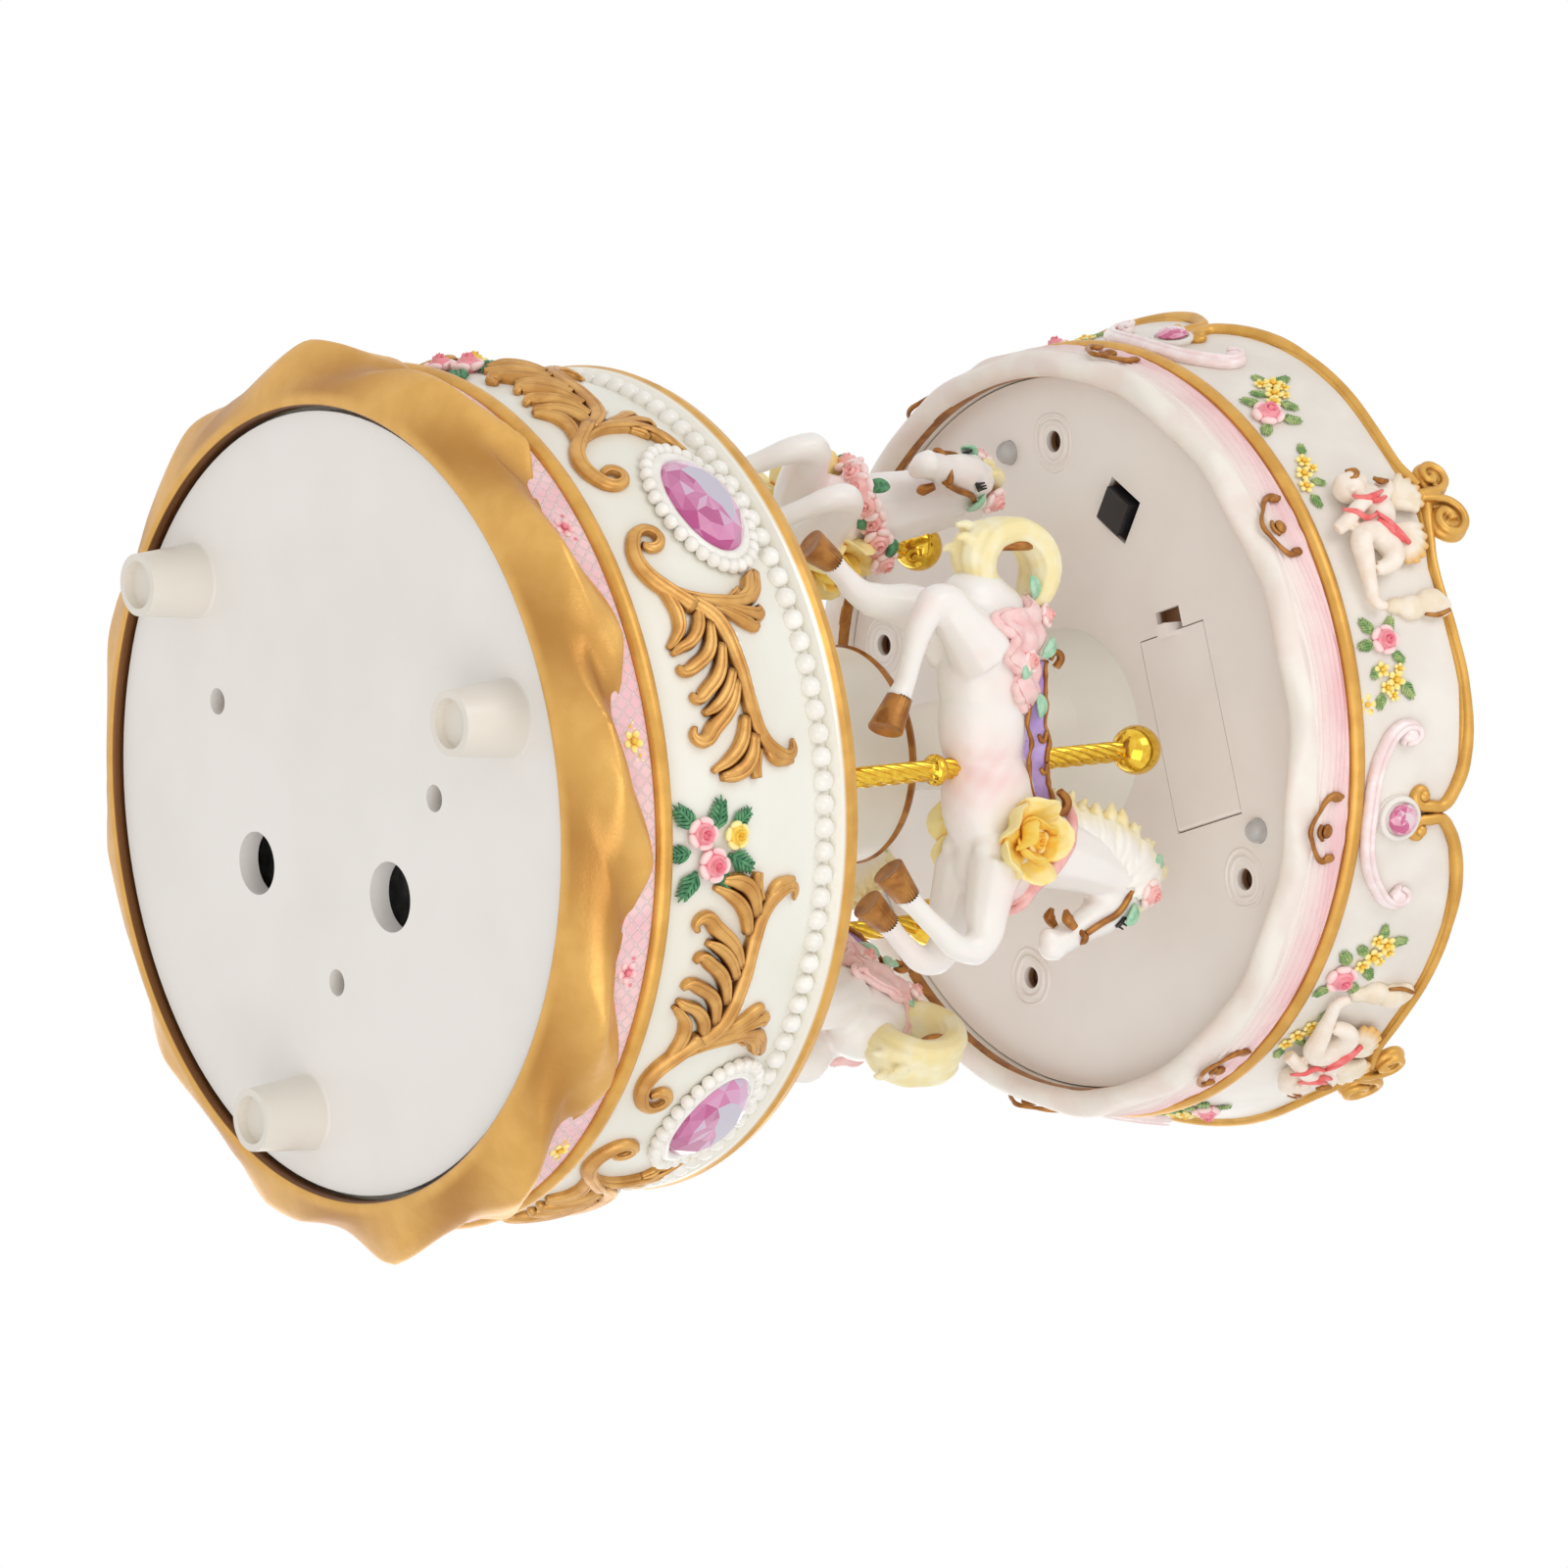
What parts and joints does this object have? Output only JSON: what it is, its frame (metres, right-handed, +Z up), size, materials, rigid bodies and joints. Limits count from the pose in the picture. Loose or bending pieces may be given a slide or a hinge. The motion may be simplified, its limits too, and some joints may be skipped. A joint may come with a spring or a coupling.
{
  "type": "carousel music box",
  "caption": "Round carousel music box with horses on twisted poles, a jewelled drum base holding a wind-up movement and a scalloped canopy with lamps.",
  "frame": {"origin": "on the turning axis, in the plane of the three feet's ends", "axes": "+Z up the turning axis, -Y towards the side with one horse running to +X"},
  "size_m": [0.1062, 0.1062, 0.1619],
  "materials": {
    "ivory_resin": "satin ivory cast resin",
    "gilt": "satin gold paint",
    "pink_wash": "pale pink painted resin",
    "pearl": "glossy pearl paint",
    "pink_gem": "faceted clear pink acrylic",
    "rose_paint": "hand painted roses and leaves",
    "white_plastic": "moulded off-white plastic",
    "steel": "plain steel",
    "zinc": "die cast",
    "brass_part": "machined brass",
    "horse_resin": "satin white cast resin",
    "gold_plate": "polished gold-coloured plating",
    "lilac_paint": "lilac paint with gold edge",
    "cream_hair": "cream painted resin",
    "hoof_gilt": "brown gold paint",
    "clear_lens": "clear lamp lens",
    "board_green": "printed board",
    "black_plastic": "black plastic"
  },
  "bodies": {
    "base": {"base_shell": "ivory_resin", "foot_skirt": "gilt", "pink_band": "pink_wash", "lower_bead": "gilt", "upper_rim": "gilt", "pearl_row": "pearl", "drum_gems": "pink_gem", "gem_surrounds": "pearl", "drum_scrolls": "gilt", "drum_roses": "rose_paint", "base_plate": "white_plastic", "movement_screws": "steel", "bedplate": "zinc", "bridge": "zinc", "comb": "steel", "comb_screws": "steel", "governor_bracket": "zinc"},
    "carousel": {"spindle": "brass_part", "deck": "white_plastic", "hub": "ivory_resin", "hub_trim": "gilt", "column": "ivory_resin", "poles": "gold_plate", "pole_balls": "gold_plate", "horse_1": "horse_resin", "horse_2": "horse_resin", "horse_3": "horse_resin", "manes": "cream_hair", "saddles": "lilac_paint", "garlands": "rose_paint", "hooves": "hoof_gilt", "canopy_plate": "white_plastic", "canopy_screws": "steel", "canopy_shell": "ivory_resin", "hem": "ivory_resin", "drape": "pink_wash", "canopy_bead": "gilt", "crown": "ivory_resin", "crest_edging": "gilt", "volutes": "gilt", "cherubs": "ivory_resin", "canopy_roses": "rose_paint", "canopy_gems": "pink_gem", "gem_settings": "pearl", "c_scrolls": "pearl", "drape_ornaments": "gilt", "roof": "ivory_resin", "finial": "gilt", "leds": "clear_lens", "circuit_board": "board_green", "cells": "steel", "battery_contacts": "brass_part", "switch_body": "black_plastic"},
    "tune_cylinder": {"tune_cylinder": "brass_part"},
    "spring_barrel": {"spring_barrel": "brass_part"},
    "governor": {"governor": "steel"},
    "battery_door": {"battery_door": "white_plastic"},
    "light_button": {"light_button": "black_plastic"}
  },
  "joints": [
    {"name": "carousel_spin", "type": "hinge", "parent": "base", "child": "carousel", "pos_m": [0, 0, 0], "axis": [0, 0, 1], "continuous": true},
    {"name": "cylinder_turn", "type": "hinge", "parent": "base", "child": "tune_cylinder", "pos_m": [0, 0, 0.026], "axis": [1, 0, 0], "continuous": true},
    {"name": "barrel_turn", "type": "hinge", "parent": "base", "child": "spring_barrel", "pos_m": [0, 0.016, 0.026], "axis": [1, 0, 0], "continuous": true},
    {"name": "governor_spin", "type": "hinge", "parent": "base", "child": "governor", "pos_m": [0.0145, -0.00897, 0.026], "axis": [0, 0, 1], "continuous": true},
    {"name": "door_swing", "type": "hinge", "parent": "carousel", "child": "battery_door", "pos_m": [0.01055, -0.02495, 0.11815], "axis": [-0.2079, -0.9781, 0], "range_deg": [0, 30]},
    {"name": "button_press", "type": "slide", "parent": "carousel", "child": "light_button", "axis": [0, 0, 1], "range_m": [0, 0.0008], "stiffness_N_per_m": 800}
  ],
  "couplings": [
    {"joint": "cylinder_turn", "follows": "carousel_spin", "ratio": -1.2},
    {"joint": "barrel_turn", "follows": "carousel_spin", "ratio": 0.85714},
    {"joint": "governor_spin", "follows": "carousel_spin", "ratio": 24}
  ]
}
